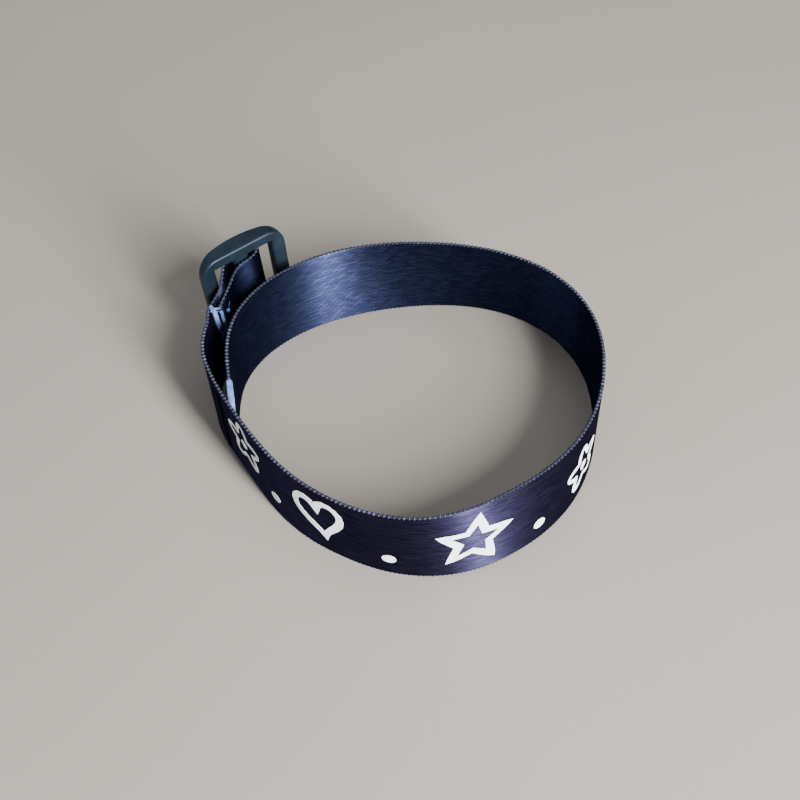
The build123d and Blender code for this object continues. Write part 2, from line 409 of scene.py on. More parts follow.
def random_vector(tree, seed, low, high):
    values = {0: low, 1: high, "Seed": seed}
    return add(tree, "FunctionNodeRandomValue", values, data_type="FLOAT_VECTOR")


def instanced(tree, points, instance, rotation, scale):
    values = {"Points": points, "Instance": instance, "Rotation": rotation, "Scale": scale}
    return add(tree, "GeometryNodeInstanceOnPoints", values)


def tube(tree, curve, radius, sides, capped=False, scale=1.0):
    """A round body along a curve."""
    section = add(tree, "GeometryNodeCurvePrimitiveCircle", {"Resolution": sides, "Radius": radius})
    values = {"Curve": curve, "Profile Curve": section, "Scale": scale, "Fill Caps": capped}
    return add(tree, "GeometryNodeCurveToMesh", values)


def finish_tree(tree, source, end, instances):
    realized = add(tree, "GeometryNodeRealizeInstances", {"Geometry": instances})
    smooth = add(tree, "GeometryNodeSetShadeSmooth", {"Geometry": realized})
    values = {"Geometry": smooth, "Material": source.outputs["Material"]}
    painted = add(tree, "GeometryNodeSetMaterial", values)
    fill(tree, end, {0: painted})


def grown(item, tree, values):
    """What a tree grows on an object, as a plain mesh with the modifier gone."""
    modifier = item.modifiers.new(tree.name, "NODES")
    modifier.node_group = tree
    for socket in tree.interface.items_tree:
        if socket.in_out == "INPUT" and socket.name in values:
            modifier[socket.identifier] = values[socket.name]
    graph = bpy.context.evaluated_depsgraph_get()
    mesh = bpy.data.meshes.new_from_object(item.evaluated_get(graph), depsgraph=graph)
    item.modifiers.clear()
    item.data = mesh
    mesh.name = item.name
    return item


def joined(name, items):
    """One object from several, in the order given."""
    shapes = bmesh.new()
    materials = []
    for item in items:
        start = len(shapes.faces)
        shapes.from_mesh(item.data)
        shapes.faces.ensure_lookup_table()
        own = list(item.data.materials)
        for material in own:
            if material not in materials:
                materials.append(material)
        for face in shapes.faces[start:]:
            face.material_index = materials.index(own[face.material_index])
    mesh = bpy.data.meshes.new(name)
    shapes.to_mesh(mesh)
    shapes.free()
    for material in materials:
        mesh.materials.append(material)
    for item in items:
        bpy.data.objects.remove(item)
    return new_object(name, mesh)


# Materials


def new_material(name):
    material = bpy.data.materials.new(name)
    material.use_nodes = True
    tree = material.node_tree
    tree.nodes.clear()
    shader = tree.nodes.new("ShaderNodeBsdfPrincipled")
    output = tree.nodes.new("ShaderNodeOutputMaterial")
    fill(tree, output, {0: shader})
    return material, tree, shader


def shade(colour, share):
    return tuple(share * part for part in colour)


def mixed(tree, factor, first, second, blend="MIX"):
    """One colour over another. The factor is a number or a socket, a colour is a tuple or a socket."""
    first, second = ((*part, 1) if isinstance(part, tuple) else part for part in (first, second))
    values = {0: factor, 6: first, 7: second}
    node = add(tree, "ShaderNodeMix", values, data_type="RGBA", blend_type=blend, clamp_factor=True)
    return node.outputs[2]


def ranged(tree, value, low, high, start=0.0, end=1.0):
    values = {"Value": value, "From Min": low, "From Max": high, "To Min": start, "To Max": end}
    return add(tree, "ShaderNodeMapRange", values)


def object_place(tree):
    return add(tree, "ShaderNodeTexCoord").outputs["Object"]


def strip_place(tree):
    return add(tree, "ShaderNodeUVMap", uv_map="Strip")


def noise(tree, place, scale, detail, roughness=0.5):
    values = {"Vector": place, "Scale": scale, "Detail": detail, "Roughness": roughness}
    return add(tree, "ShaderNodeTexNoise", values)


def stretched_noise(tree, place, scales, detail, turn=(0, 0, 0)):
    """Noise that is drawn out: its scale along each axis, after a turn."""
    drawn = add(tree, "ShaderNodeMapping", {"Vector": place, "Rotation": turn, "Scale": scales})
    return noise(tree, drawn, 1.0, detail)


def surface(tree, shader, values, relief, strength, depth):
    """Sets the shader's inputs, and a bump so deep from the relief."""
    bump = add(tree, "ShaderNodeBump", {"Height": relief, "Strength": strength, "Distance": depth})
    fill(tree, shader, {**values, "Normal": bump})


# How many times thinner the gap at a float's end is than the gap along its side
JOINT_THINNING = 3.0
# How far the floats wander from their straight rows
WANDER = 0.12 * MM
# The share of the cloth's red, green and blue left where painted shade darkens it towards navy, on the
# stretch folded round the slider's bar
SLIDER_SHADE = (0.28, 0.42, 0.50)

Weave = namedtuple("Weave", "glow rim float_length float_width shift contrast")

# The ribbon's two sides: the colour of a float's shine, its tint at a grazing angle, a float's
# length and width, the share of its length by which each row lies further on, and how dark the gaps are
FRONT_WEAVE = Weave((0.037, 0.036, 0.072), (0.09, 0.06, 0.22), 2.2 * MM, 0.40 * MM, 0.30, 0.5)
BACK_WEAVE = Weave((0.031, 0.039, 0.082), (0.09, 0.10, 0.28), 1.15 * MM, 0.42 * MM, 0.37, 0.7)


def woven_floats(tree, strip, apart, weave):
    """The pattern of the floats, bright on a float and dark in the gaps round it."""
    shift = weave.shift * weave.float_length / weave.float_width
    shifted_on = calculated(tree, "MULTIPLY", apart["Y"], shift)
    distance = calculated(tree, "ADD", apart["X"], shifted_on)
    distance = calculated(tree, "MULTIPLY", distance, JOINT_THINNING)
    turned = add(tree, "ShaderNodeCombineXYZ", {"X": distance, "Y": apart["Y"]})
    wander = add(tree, "ShaderNodeTexNoise", {"Vector": strip, "Scale": 900.0, "Detail": 2.0})
    centred = vector_calculated(tree, "SUBTRACT", wander.outputs["Color"], (0.5, 0.5, 0.5))
    nudge = add(tree, "ShaderNodeVectorMath", {0: centred, "Scale": WANDER}, operation="SCALE")
    values = {
        "Vector": vector_calculated(tree, "ADD", turned, nudge),
        "Color1": (1, 1, 1, 1),
        "Color2": (0.50, 0.50, 0.50, 1),
        "Mortar": (0, 0, 0, 1),
        "Scale": 1.0,
        "Mortar Size": 0.24 * weave.float_width,
        "Mortar Smooth": 1.0,
        "Brick Width": weave.float_length * JOINT_THINNING,
        "Row Height": weave.float_width,
    }
    return add(tree, "ShaderNodeTexBrick", values, offset=0.0).outputs["Color"]


def woven_material(name, colour, weave, shaded_until=0.0):
    """Satin cloth, whose shine stays faint at a grazing angle.

    The stretch from the cut end to the last argument's distance gets painted shade, darker and bluer,
    where it lies folded round the slider's bar.
    """
    material, tree, shader = new_material(name)
    strip = strip_place(tree)
    apart = add(tree, "ShaderNodeSeparateXYZ", {"Vector": strip}).outputs
    floats = woven_floats(tree, strip, apart, weave)
    clouds = noise(tree, strip, 160.0, 4.0, roughness=0.6)
    streaks = stretched_noise(tree, strip, (600, 3400, 1), 3.0)
    dark = shade(colour, 1 - 0.75 * weave.contrast)
    base = mixed(tree, ranged(tree, floats, 0.3, 1.0, 0.5 * (1 - weave.contrast)), dark, weave.glow)
    base = mixed(tree, ranged(tree, streaks, 0.35, 0.70, 0.0, 0.55), base, colour)
    base = mixed(tree, ranged(tree, clouds, 0.35, 0.7, 0.0, 0.35), base, dark)
    # Painted shade: the stretch folded round the slider's bar is made darker and bluer
    if shaded_until:
        slider_shaded = mixed(tree, 1.0, base, SLIDER_SHADE, "MULTIPLY")
        base = mixed(tree, ranged(tree, apart["X"], 0.8 * shaded_until, shaded_until), slider_shaded, base)
    relief = calculated(tree, "ADD", floats, calculated(tree, "MULTIPLY", streaks, 0.5))
    tangent = add(tree, "ShaderNodeTangent", direction_type="UV_MAP", uv_map="Strip")
    values = {
        "Base Color": base,
        "Roughness": ranged(tree, clouds, 0.3, 0.7, 0.41, 0.47),
        "Metallic": 0.90,
        "Specular IOR Level": 0.1,
        "Specular Tint": (*weave.rim, 1),
        "Anisotropic": 0.97,
        "Anisotropic Rotation": 0.25,
        "Tangent": tangent,
    }
    surface(tree, shader, values, relief, 0.4, 0.02 * MM)
    return material


@lru_cache(maxsize=None)
def bead_material():
    """Weft turns along the edge, lighter at their crowns and darker over whole stretches."""
    material, tree, shader = new_material("selvage_beads")
    colour = tuple(settings().ribbon.bead_colour)
    place = object_place(tree)
    patches = noise(tree, place, 1500.0, 2.0)
    grain = noise(tree, place, 9000.0, 2.0)
    stretches = noise(tree, place, 70.0, 1.0)
    dark = shade(colour, 0.22)
    base = mixed(tree, ranged(tree, patches, 0.38, 0.62), dark, colour)
    base = mixed(tree, ranged(tree, stretches, 0.42, 0.60, 0.0, 0.8), base, dark)
    values = {
        "Base Color": base,
        "Roughness": ranged(tree, grain, 0.3, 0.7, 0.45, 0.65),
        "Specular IOR Level": 0.25,
    }
    surface(tree, shader, values, grain, 0.5, 0.05 * MM)
    return material


def edge_material():
    """The thin cut of the cloth between the beads and at its ends."""
    material, tree, shader = new_material("ribbon_edge")
    colour = tuple(settings().ribbon.back_colour)
    grain = noise(tree, object_place(tree), 4000.0, 3.0)
    base = mixed(tree, ranged(tree, grain, 0.4, 0.7), shade(colour, 0.4), colour)
    surface(tree, shader, {"Base Color": base, "Roughness": 0.8}, grain, 0.6, 0.06 * MM)
    return material


@lru_cache(maxsize=None)
def thread_material(name, colour, paler):
    """Spun polyester thread: fine plies, paler in patches and deeper between the plies."""
    material, tree, shader = new_material(name)
    place = object_place(tree)
    plies = add(
        tree,
        "ShaderNodeTexWave",
        {"Vector": place, "Scale": 1900.0, "Distortion": 1.5, "Detail": 2.0, "Detail Scale": 1.2},
        wave_type="BANDS",
        bands_direction="DIAGONAL",
    ).outputs["Fac"]
    patches = noise(tree, place, 520.0, 2.0)
    pale = tuple(part + paler * (1 - part) for part in colour)
    base = mixed(tree, ranged(tree, plies, 0.2, 0.9), shade(colour, 0.62), colour)
    base = mixed(tree, ranged(tree, patches, 0.42, 0.62), base, pale)
    values = {
        "Base Color": base,
        "Roughness": ranged(tree, plies, 0.0, 1.0, 0.55, 0.38),
        "Sheen Weight": 0.4 * paler,
        "Specular IOR Level": 2.5 * paler,
    }
    surface(tree, shader, values, plies, 0.5, 0.04 * MM)
    return material


def bright_thread():
    return thread_material("sewing_thread", tuple(settings().stitches.colour), 0.08)


def under_thread():
    return thread_material("under_thread", tuple(settings().stitches.under_colour), 0.0)


def ink_material():
    """Opaque ink that the cloth's ribs show through a little."""
    material, tree, shader = new_material("printed_ink")
    colour = tuple(settings().print.colour)
    strip = strip_place(tree)
    ribs = stretched_noise(tree, strip, (700, 2600, 1), 3.0)
    wear = noise(tree, strip, 1100.0, 3.0)
    thin = (colour[0] * 0.62, colour[1] * 0.62, colour[2] * 0.70)
    base = mixed(tree, ranged(tree, ribs, 0.50, 0.85), colour, thin)
    base = mixed(tree, ranged(tree, wear, 0.60, 0.80, 0.0, 0.6), base, thin)
    surface(tree, shader, {"Base Color": base, "Roughness": 0.62}, ribs, 0.5, 0.04 * MM)
    return material


def slider_material():
    """Black moulded plastic with a fine spark-eroded grain, worn smoother in places."""
    material, tree, shader = new_material("moulded_slider")
    colour = tuple(settings().stage.slider_colour)
    place = object_place(tree)
    grain = noise(tree, place, 3600.0, 3.0, roughness=0.6)
    wear = noise(tree, place, 230.0, 4.0)
    scuffs = stretched_noise(tree, place, (240, 3200, 900), 2.0, turn=(0.3, 0.5, 0.9))
    worn = tuple(2.2 * part + 0.004 for part in colour)
    base = mixed(tree, ranged(tree, wear, 0.4, 0.75, 0.0, 0.7), colour, worn)
    base = mixed(tree, ranged(tree, scuffs, 0.68, 0.80, 0.0, 0.5), base, worn)
    values = {
        "Base Color": base,
        "Roughness": ranged(tree, wear, 0.3, 0.7, 0.42, 0.56),
        "Specular IOR Level": 0.26,
        "Specular Tint": (0.62, 0.82, 1.0, 1),
    }
    surface(tree, shader, values, grain, 0.35, 0.02 * MM)
    return material


def floor_material():
    material, tree, shader = new_material("pale_floor")
    colour = tuple(settings().stage.floor_colour)
    clouds = noise(tree, object_place(tree), 14.0, 3.0)
    base = mixed(tree, ranged(tree, clouds, 0.3, 0.7), shade(colour, 0.97), colour)
    fill(tree, shader, {"Base Color": base, "Roughness": 0.75})
    return material


# The ribbon

# Across the cloth, from its middle line to an edge: share of the half width, and share
# of the half thickness, a little fuller just inside the selvage. The other half mirrors it.
HALF_PROFILE = [(0.0, 0.88), (0.500, 0.88), (0.880, 0.88), (0.950, 1.00), (0.985, 0.92), (1.000, 0.55)]
CLOTH_PROFILE = [(-height, depth) for height, depth in HALF_PROFILE[:0:-1]] + HALF_PROFILE
# Places of the cloth's materials
FRONT, BACK, EDGE = 0, 1, 2
# How far the beads' line lies inside the edge of the cloth
BEAD_SINK = 0.02 * MM
BEAD_SEED = 3
# Least and greatest share of its full length, thickness and height that a bead has
BEAD_LEAST = (0.88, 0.88, 0.86)
BEAD_MOST = (1.12, 1.04, 1.06)


class WRISTBAND_OT_ribbon(Operator):
    """Weave the ribbon: one strip from cut end to cut end, with its own strip coordinates"""

    bl_idname = "wristband.ribbon"
    bl_label = "Ribbon"

    def execute(self, context):
        sizes, half = settings().ribbon, half_width()
        way, middle, up, inward = rows()
        profile = [(height * half, depth * sizes.thickness / 2) for height, depth in CLOTH_PROFILE]
        ring = profile + [(height, -depth) for height, depth in reversed(profile)]
        size, side = len(ring), len(profile)
        points, faces, kinds = [], [], []
        for row in range(len(way)):
            points += [middle[row] + up[row] * height + inward[row] * depth for height, depth in ring]
        for row in range(len(way) - 1):
            here, ahead = row * size, (row + 1) * size
            for place in range(size):
                after = (place + 1) % size
                faces.append((here + place, ahead + place, ahead + after, here + after))
                on_edge = place in (side - 1, size - 1)
                kinds.append(EDGE if on_edge else BACK if place < side else FRONT)
        last = (len(way) - 1) * size
        faces += [tuple(range(size)), tuple(last + place for place in reversed(range(size)))]
        kinds += [EDGE, EDGE]
        cloth = mesh_object("ribbon_cloth", points, faces)
        strip_coordinates(cloth, [(distance, height) for distance in way for height, _ in ring])
        # The stretch from the cut end to the buckle tack gets painted shade in the front material
        slider_shade_until = way[tack_row("buckle_tack")]
        for material in (
            woven_material("ribbon_front", tuple(sizes.front_colour), FRONT_WEAVE, slider_shade_until),
            woven_material("ribbon_back", tuple(sizes.back_colour), BACK_WEAVE),
            edge_material(),
        ):
            cloth.data.materials.append(material)
        cloth.data.polygons.foreach_set("material_index", kinds)
        ensure_outward(cloth)
        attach(cloth, "root")
        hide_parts("ribbon")
        return {"FINISHED"}


def bead_tree():
    """Beads along lines, one at every pitch, each a little different."""
    tree, source, end = geometry_tree(
        "Selvage Beads",
        {"Pitch": "Float", "Bead Size": "Vector", "Seed": "Int", "Material": "Material"},
    )
    points = spaced_curve(tree, source)[1]
    uneven = random_vector(tree, source.outputs["Seed"], BEAD_LEAST, BEAD_MOST)
    scale = vector_calculated(tree, "MULTIPLY", source.outputs["Bead Size"], uneven)
    bead = add(tree, "GeometryNodeMeshIcoSphere", {"Radius": 0.5, "Subdivisions": 2})
    beads = instanced(tree, points, bead, standing(tree, "X", "Y"), scale)
    finish_tree(tree, source, end, beads)
    return tree


class WRISTBAND_OT_selvage(Operator):
    """Line both edges of the ribbon with the beads of its woven selvage"""

    bl_idname = "wristband.selvage"
    bl_label = "Selvages"

    def execute(self, context):
        sizes = settings().ribbon
        _, middle, up, inward = rows()
        reach = half_width() - BEAD_SINK
        lines = [list(zip(middle + up * edge, inward)) for edge in (-reach, reach)]
        selvage = grown(
            line_object("selvage_beads", lines),
            bead_tree(),
            {
                "Pitch": sizes.bead_pitch,
                "Bead Size": tuple(sizes.bead_size),
                "Seed": BEAD_SEED,
                "Material": bead_material(),
            },
        )
        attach(selvage, "root")
        return {"FINISHED"}


# The tacks

# The stretch of the ribbon's length that holds the layer each tack stands on
TACK_STRETCHES = {"buckle_tack": (0.10, 0.30), "join_tack": (0.12, 0.35)}
# How far short of the cloth's edges the tacks' rolls stay
TACK_MARGIN = 0.15 * MM

Roll = namedtuple("Roll", "foot_way foot_depth head_way head_depth drop width depth")

# Rolls of the buckle tack: how far along from its row and out from the cloth
# at the foot and at the head, how far the head stops short, width and depth.
BUCKLE_ROLLS = [
    Roll(0.2 * MM, 0.95 * MM, 0.0 * MM, 0.30 * MM, 0.0 * MM, 0.95 * MM, 0.80 * MM),
    Roll(0.1 * MM, 1.25 * MM, -0.3 * MM, 1.45 * MM, 0.5 * MM, 0.50 * MM, 0.44 * MM),
]
# The turns round the cloth at the buckle tack's head: how far to each side of its row and below
# its top, how much wider than the cloth, how high, how wide apart, and how even to both ends
WRAP_REACH = 0.65 * MM
WRAP_DROP = 0.35 * MM
WRAP_BULGE = 0.34 * MM
WRAP_HEIGHT = 1.25 * MM
WRAP_PITCH_SHARE = 1.2
WRAP_FULLNESS = 40.0
# The join tack's roll: how far past the inner cut end, how far out its foot and up its head
# stand, its width and depth, and how even it is to both ends
JOIN_AHEAD = 0.2 * MM
JOIN_FOOT_OUT = 0.5 * MM
JOIN_HEAD_UP = 0.05 * MM
JOIN_SIZE = 1.0 * MM
JOIN_FULLNESS = 32.0
# The seams of under thread: how far short of the rolls, how deep in the cloth, how thick
SEAM_MARGIN = 0.9 * MM
SEAM_SINK = 0.06 * MM
SEAM_DEPTH = 0.34 * MM
SEAM_PITCH_SHARE = 1.3
# Points along a tack's line, and the smallest share of its size that an end turn has
STITCH_POINTS = 30
LEAST_TURN = 0.22


@lru_cache(maxsize=None)
def stitch_tree():
    """Thread wound round a line in close turns that slope to and fro."""
    tree, source, end = geometry_tree(
        "Bar Tack Stitches",
        dict.fromkeys(("Pitch", "Width", "Depth", "Thread", "Tilt", "Fullness"), "Float")
        | {"Seed": "Int", "Material": "Material"},
    )
    given, work = source.outputs, partial(calculated, tree)
    curve, points = spaced_curve(tree, source)

    # One turn: an oval of thread, as wide and deep as the tack
    circle = add(tree, "GeometryNodeCurvePrimitiveCircle", {"Resolution": 16, "Radius": 0.5})
    width = work("SUBTRACT", given["Width"], given["Thread"])
    depth = work("SUBTRACT", given["Depth"], given["Thread"])
    size = add(tree, "ShaderNodeCombineXYZ", {"X": depth, "Y": width, "Z": 1.0})
    oval = add(tree, "GeometryNodeTransform", {"Geometry": circle, "Scale": size})
    turn = tube(tree, oval, work("MULTIPLY", given["Thread"], 0.5), 6)

    # Each turn leans the other way than the one before it
    parity = work("MODULO", add(tree, "GeometryNodeInputIndex"), 2.0)
    sign = work("SUBTRACT", work("MULTIPLY", parity, 2.0), 1.0)
    values = {"Min": 0.5, "Max": 1.5, "Seed": given["Seed"]}
    uneven = add(tree, "FunctionNodeRandomValue", values, data_type="FLOAT").outputs["Value"]
    slope = work("MULTIPLY", work("MULTIPLY", sign, given["Tilt"]), uneven)
    lean = add(tree, "ShaderNodeCombineXYZ", {"X": slope})
    leaning = add(tree, "FunctionNodeEulerToRotation", {"Euler": lean})
    rotated = add(
        tree,
        "FunctionNodeRotateRotation",
        {"Rotation": standing(tree, "Z", "X"), "Rotate By": leaning},
        rotation_space="LOCAL",
    )

    # The turns shrink towards both ends, the later the greater the fullness
    share = add(tree, "GeometryNodeSplineParameter")
    from_middle = work("ABSOLUTE", work("SUBTRACT", work("MULTIPLY", share, 2.0), 1.0))
    full = work("SUBTRACT", 1.0, work("POWER", from_middle, given["Fullness"]))
    ending = work("MAXIMUM", work("SQRT", full), LEAST_TURN)
    rounded = add(tree, "ShaderNodeCombineXYZ", {"X": ending, "Y": ending, "Z": 1.0})
    stretch = random_vector(tree, given["Seed"], (0.94, 0.90, 1.0), (1.0, 1.0, 1.0))
    sized = vector_calculated(tree, "MULTIPLY", stretch, rounded)

    turns = instanced(tree, points, turn, rotated, sized)
    core = tube(tree, curve, given["Thread"], 8, capped=True)
    both = add(tree, "GeometryNodeJoinGeometry")
    for part in (turns, core):
        fill(tree, both, {0: part})
    finish_tree(tree, source, end, both)
    return tree


@lru_cache(maxsize=None)
def strand_tree():
    """Single strands of thread along lines, each as thick as its own weight says."""
    tree, source, end = geometry_tree("Strands", {"Thread": "Float", "Material": "Material"})
    curve = add(tree, "GeometryNodeMeshToCurve", {"Mesh": source.outputs["Geometry"]})
    weight = add(tree, "GeometryNodeInputNamedAttribute", {"Name": "weight"}, data_type="FLOAT")
    radius = calculated(tree, "MULTIPLY", source.outputs["Thread"], 0.5)
    strand = tube(tree, curve, radius, 6, capped=True, scale=weight)
    finish_tree(tree, source, end, strand)
    return tree


def node_line(node):
    """The long middle line of a solid tack, bottom to top."""
    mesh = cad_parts[node].data
    points = np.array([vertex.co for vertex in mesh.vertices])
    middle = points.mean(axis=0)
    axes = np.linalg.svd(points - middle, full_matrices=False)[2]
    axis = axes[0] * np.sign(axes[0][2])
    reach = (points - middle) @ axis
    return middle + axis * reach.min(), middle + axis * reach.max()


def tack_row(node):
    """The row of the layer that a tack stands on, beside the middle of its solid."""
    way, middle = rows()[:2]
    low, high = node_line(node)
    first, last = (int(share * len(way)) for share in TACK_STRETCHES[node])
    flat = np.linalg.norm((middle - (low + high) / 2)[first:last, :2], axis=1)
    return first + int(np.argmin(flat))


def straight(start, end, side, count, reach=1.0):
    """Points from one place to another, each with the direction towards the wrist."""
    return [(start + (end - start) * share, side) for share in np.linspace(0, reach, count)]


def stitched(name, foot, head, side, width, depth, material, pitch_share=1.0, fullness=14.0):
    """Close turns of thread from one place to another, as one piece."""
    sizes = settings().stitches
    trim = (head - foot) / np.linalg.norm(head - foot) * (sizes.thread / 2)
    return grown(
        line_object(name, [straight(foot + trim, head - trim, side, STITCH_POINTS)]),
        stitch_tree(),
        {
            "Pitch": sizes.pitch * pitch_share,
            "Width": width,
            "Depth": depth,
            "Thread": sizes.thread,
            "Tilt": sizes.tilt,
            "Fullness": fullness,
            "Seed": sizes.seed,
            "Material": material,
        },
    )


def sewn_on(piece, node=None):
    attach(piece, "root")
    if node:
        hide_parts(node)


def buckle_roll():
    """The rolls of thread beside the slider, and the turns round the cloth at their head."""
    cloth, row = settings().ribbon, tack_row("buckle_tack")
    way, _, _, inward = rows()
    outer, skin, reach = way[row], cloth.thickness / 2, half_width() - TACK_MARGIN
    rolls = [
        stitched(
            "binding",
            strip_point(outer + roll.foot_way, -reach, skin + roll.foot_depth),
            strip_point(outer + roll.head_way, reach - roll.drop, skin + roll.head_depth),
            inward[row],
            roll.width,
            roll.depth,
            bright_thread(),
        )
        for roll in BUCKLE_ROLLS
    ]
    wraps = stitched(
        "wraps",
        strip_point(outer - WRAP_REACH, reach - WRAP_DROP, 0),
        strip_point(outer + WRAP_REACH, reach - WRAP_DROP, 0),
        np.array([0.0, 0.0, 1.0]),
        cloth.thickness + WRAP_BULGE,
        WRAP_HEIGHT,
        bright_thread(),
        WRAP_PITCH_SHARE,
        WRAP_FULLNESS,
    )
    return joined("buckle_tack_roll", [*rolls, wraps])


def join_roll():
    """The roll of thread that binds the inner cut end to the layer outside it."""
    _, middle, up, inward = rows()
    reach = half_width() - TACK_MARGIN
    end, ahead = middle[-1], np.cross(inward[-1], up[-1])
    foot = end - up[-1] * reach + ahead * JOIN_AHEAD - inward[-1] * JOIN_FOOT_OUT
    head = end + up[-1] * (reach + JOIN_HEAD_UP) + ahead * JOIN_AHEAD
    return stitched(
        "join_tack_roll",
        foot,
        head,
        inward[-1],
        JOIN_SIZE,
        JOIN_SIZE,
        bright_thread(),
        fullness=JOIN_FULLNESS,
    )


def outside_seam(node):
    """The flat zigzag of under thread where a tack comes through on the outside."""
    way, _, _, inward = rows()
    row = tack_row(node)
    reach = half_width() - TACK_MARGIN
    depth = -settings().ribbon.thickness / 2 + SEAM_SINK
    foot, head = (
        strip_point(way[row], height, depth) for height in (SEAM_MARGIN - reach, reach - SEAM_MARGIN)
    )
    return stitched(
        node + "_seam",
        foot,
        head,
        inward[row],
        settings().stitches.seam_width,
        SEAM_DEPTH,
        under_thread(),
        SEAM_PITCH_SHARE,
    )


class WRISTBAND_OT_tacks(Operator):
    """Sew both bar tacks: bound rolls on the inside and a flat seam of under thread on the outside"""

    bl_idname = "wristband.tacks"
    bl_label = "Bar Tacks"

    def execute(self, context):
        sewn_on(buckle_roll(), "buckle_tack")
        sewn_on(join_roll(), "join_tack")
        for node in ("buckle_tack", "join_tack"):
            sewn_on(outside_seam(node))
        return {"FINISHED"}


# The loose threads

# Threads that cross from the first layer to the cut end: how many, how far the first lies
# below the edge and each one below the last, and their weight
CROSSINGS = 7
CROSSING_TOP = 0.25 * MM
CROSSING_STEP = 0.28 * MM
CROSSING_WEIGHT = 0.7
# The knot: its place as distance, drop below the edge and height off the cloth, and its size
KNOT_DISTANCE = 1.0 * MM
KNOT_DROP = 2.1 * MM
KNOT_LIFT = 0.22 * MM
KNOT_SIZE = 0.24 * MM
KNOT_TURNS = 2.3
KNOT_POINTS = 44
KNOT_WEIGHT = 0.9
# The fibres that leave the knot and the buckle tack
TAIL_WEIGHT = 0.16
STRAY_LENGTH = 1.0 * MM
STRAY_WEIGHT = 0.15
# The frayed cut end: how many fibres, how thick, and how far short of the edges
FRAYS = 46
FRAY_THREAD = 0.07 * MM
FRAY_MARGIN = 0.1 * MM
# How much thinner a loose thread is than one in a tack
LOOSE_SHARE = 0.8


def bowed(root, out, lean, reach, side, count):
    """Points of a fibre that leaves its root straight out and leans more and more towards its tip."""
    return [(root + (out + lean * share) * reach * share, side) for share in np.linspace(0, 1, count)]


def sewing_ends(chance):
    """The threads that cross to the cut end, the knot and the stray fibres, with their weights."""
    way, _, up, inward = rows()
    row = tack_row("buckle_tack")
    outer, skin, top = way[row], settings().ribbon.thickness / 2, half_width()
    lines = []
    for number in range(CROSSINGS):
        height = top - (CROSSING_TOP + CROSSING_STEP * number)
        start = strip_point(outer + chance.uniform(-0.3, 0.3) * MM, height, skin + 0.2 * MM)
        distance, drop = chance.uniform(0.1, 0.5) * MM, chance.uniform(0.0, 0.5) * MM
        lines.append(straight(start, strip_point(distance, height - drop, -0.1 * MM), inward[0], 6))
    centre = strip_point(KNOT_DISTANCE, top - KNOT_DROP, -skin - KNOT_LIFT)
    angles = np.linspace(0, 2 * KNOT_TURNS * math.pi, KNOT_POINTS)
    knot = [(math.cos(a) * (0.9 - a / 40), math.sin(a) * 0.8, 0.5 * math.sin(1.5 * a)) for a in angles]
    lines.append([(centre + np.array(place) * KNOT_SIZE, inward[0]) for place in knot])
    tail = strip_point(2.6 * MM, top - 1.0 * MM, -skin - 0.1 * MM)
    lines.append(straight(centre, tail, inward[0], 6, reach=0.6))
    stray, out = strip_point(outer + 0.9 * MM, top - 0.2 * MM, -skin), -inward[row]
    lines.append(bowed(stray, out, up[0] * 0.12, STRAY_LENGTH, out, 6))
    return lines, [CROSSING_WEIGHT] * CROSSINGS + [KNOT_WEIGHT, TAIL_WEIGHT, STRAY_WEIGHT]


def frayed_end(chance):
    """The short fibres at the outer cut end, with their weights."""
    _, _, up, inward = rows()
    skin, top = settings().ribbon.thickness / 2, half_width()
    back = np.cross(up[0], inward[0])
    lines, weights = [], []
    for _ in range(FRAYS):
        height = chance.uniform(-1, 1) * (top - FRAY_MARGIN)
        root = strip_point(0.05 * MM, height, chance.uniform(-0.7, 0.7) * skin)
        reach = chance.uniform(0.15, 0.55) * MM
        lean = up[0] * chance.uniform(-0.4, 0.4) + inward[0] * chance.uniform(-0.3, 0.3)
        lines.append(bowed(root, back, lean, reach, inward[0], 5))
        weights.append(chance.uniform(0.6, 1.2))
    return lines, weights


class WRISTBAND_OT_threads(Operator):
    """Leave the loose ends of the sewing: cross threads, a knot, a stray fibre and the frayed cut end"""

    bl_idname = "wristband.threads"
    bl_label = "Loose Threads"

    def execute(self, context):
        chance = random.Random(settings().stitches.seed)
        threads = grown(
            line_object("loose_threads", *sewing_ends(chance)),
            strand_tree(),
            {"Thread": settings().stitches.thread * LOOSE_SHARE, "Material": bright_thread()},
        )
        sewn_on(threads)
        fringe = grown(
            line_object("cut_end_fray", *frayed_end(chance)),
            strand_tree(),
            {"Thread": FRAY_THREAD, "Material": bead_material()},
        )
        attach(fringe, "root")
        return {"FINISHED"}


class WRISTBAND_OT_slider(Operator):
    """Give the moulded slider its plastic finish"""

    bl_idname = "wristband.slider"
    bl_label = "Slider"

    def execute(self, context):
        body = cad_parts["slider"]
        body.data.materials.clear()
        body.data.materials.append(slider_material())
        return {"FINISHED"}


# The print

Motif = namedtuple("Motif", "kind distance height size turn")

# Printed motifs along the outside: kind, distance from the join tack, height
# of the middle above the ribbon's own, size, and turn in degrees.
MOTIFS = [
    Motif("flower", 0.0066, 1.6 * MM, 8.8 * MM, 4.0),
    Motif("heart", 0.0225, 0.6 * MM, 8.6 * MM, 10.0),
    Motif("star", 0.0440, 0.0, 9.6 * MM, -6.0),
    Motif("flower", 0.0645, -0.8 * MM, 8.8 * MM, 6.0),
]
# Printed dots: distance and height, as for the motifs
DOTS = [(0.0138, -3.0 * MM), (0.0325, -3.5 * MM), (0.0545, -3.8 * MM)]
DOT_CORNERS = 28
DOT_FLATNESS = 0.94
# A brush line: length of its steps, how much its width wavers and how often,
# and the sharpest corner that it still widens for
BRUSH_STEP = 0.35 * MM
BRUSH_WAVER = 0.13
BRUSH_WAVES = 6.5
LEAST_COSINE = 0.55
